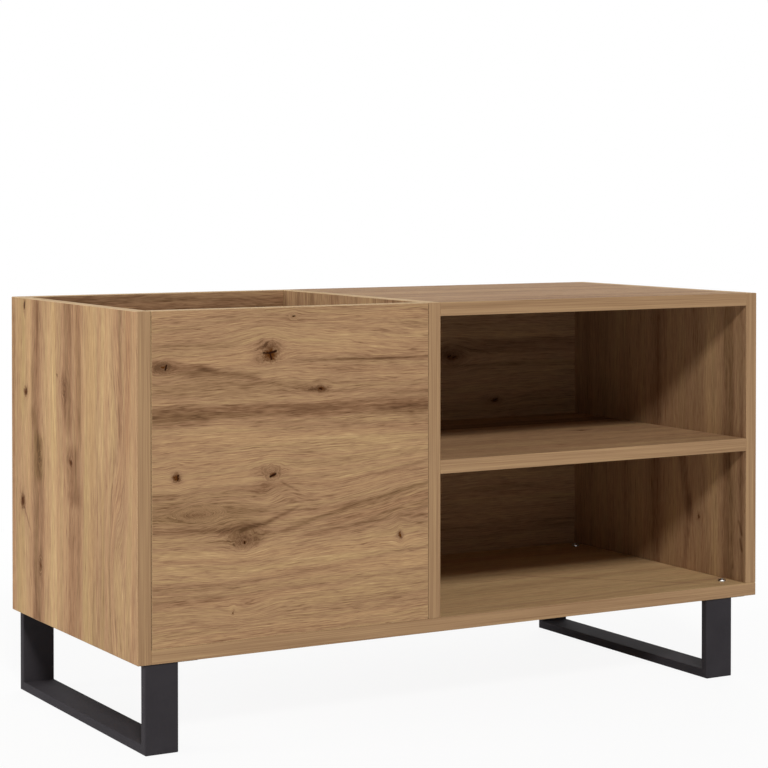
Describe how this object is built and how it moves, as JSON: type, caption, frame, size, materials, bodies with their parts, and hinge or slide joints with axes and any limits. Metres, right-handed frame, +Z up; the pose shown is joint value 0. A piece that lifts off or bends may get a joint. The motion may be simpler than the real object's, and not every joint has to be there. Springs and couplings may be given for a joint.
{
  "type": "record cabinet",
  "caption": "Low oak-finish cabinet with an open-topped record bay beside an open shelf bay, on U-shaped flat-bar legs.",
  "frame": {"origin": "on the floor under the centre of the body", "axes": "+X along the width to the right as seen from the front, +Y from the open front to the back, +Z up"},
  "size_m": [0.85, 0.38, 0.482],
  "materials": {
    "oak_board": "matt embossed rustic oak decor, with knots, on particle board",
    "back_sheet": "matt oak decor on thin fibreboard",
    "anthracite_coat": "fine matt anthracite powder coat",
    "zinc_steel": "bright zinc-plated steel",
    "zinc_cast": "dull die-cast zinc"
  },
  "bodies": {
    "root": {"left_side_panel": "oak_board", "right_side_panel": "oak_board", "centre_divider": "oak_board", "bottom_panel": "oak_board", "top_panel": "oak_board", "middle_shelf": "oak_board", "record_bay_front_panel": "oak_board", "record_bay_back_panel": "oak_board", "shelf_bay_back_panel": "back_sheet", "left_leg_frame": "anthracite_coat", "right_leg_frame": "anthracite_coat", "cam_housing_top_left_front": "zinc_cast", "cam_bolt_top_left_front": "zinc_steel", "cam_housing_top_left_back": "zinc_cast", "cam_bolt_top_left_back": "zinc_steel", "cam_housing_top_right_front": "zinc_cast", "cam_bolt_top_right_front": "zinc_steel", "cam_housing_top_right_back": "zinc_cast", "cam_bolt_top_right_back": "zinc_steel", "cam_housing_shelf_left_front": "zinc_cast", "cam_bolt_shelf_left_front": "zinc_steel", "cam_housing_shelf_left_back": "zinc_cast", "cam_bolt_shelf_left_back": "zinc_steel", "cam_housing_shelf_right_front": "zinc_cast", "cam_bolt_shelf_right_front": "zinc_steel", "cam_housing_shelf_right_back": "zinc_cast", "cam_bolt_shelf_right_back": "zinc_steel", "cam_housing_bottom_front": "zinc_cast", "cam_bolt_bottom_front": "zinc_steel", "cam_housing_bottom_back": "zinc_cast", "cam_bolt_bottom_back": "zinc_steel", "cam_housing_front_panel_left_low": "zinc_cast", "cam_bolt_front_panel_left_low": "zinc_steel", "cam_housing_front_panel_left_high": "zinc_cast", "cam_bolt_front_panel_left_high": "zinc_steel", "cam_housing_front_panel_right_low": "zinc_cast", "cam_bolt_front_panel_right_low": "zinc_steel", "cam_housing_front_panel_right_high": "zinc_cast", "cam_bolt_front_panel_right_high": "zinc_steel", "cam_housing_back_panel_left_low": "zinc_cast", "cam_bolt_back_panel_left_low": "zinc_steel", "cam_housing_back_panel_left_high": "zinc_cast", "cam_bolt_back_panel_left_high": "zinc_steel", "cam_housing_back_panel_right_low": "zinc_cast", "cam_bolt_back_panel_right_low": "zinc_steel", "cam_housing_back_panel_right_high": "zinc_cast", "cam_bolt_back_panel_right_high": "zinc_steel", "panel_screw_divider_front": "zinc_steel", "panel_screw_divider_back": "zinc_steel", "panel_screw_right_side_front": "zinc_steel", "panel_screw_right_side_back": "zinc_steel", "leg_bolt_left_front": "zinc_steel", "leg_nut_left_front": "zinc_steel", "leg_bolt_left_back": "zinc_steel", "leg_nut_left_back": "zinc_steel", "leg_bolt_right_front": "zinc_steel", "leg_nut_right_front": "zinc_steel", "leg_bolt_right_back": "zinc_steel", "leg_nut_right_back": "zinc_steel"}
  },
  "joints": []
}
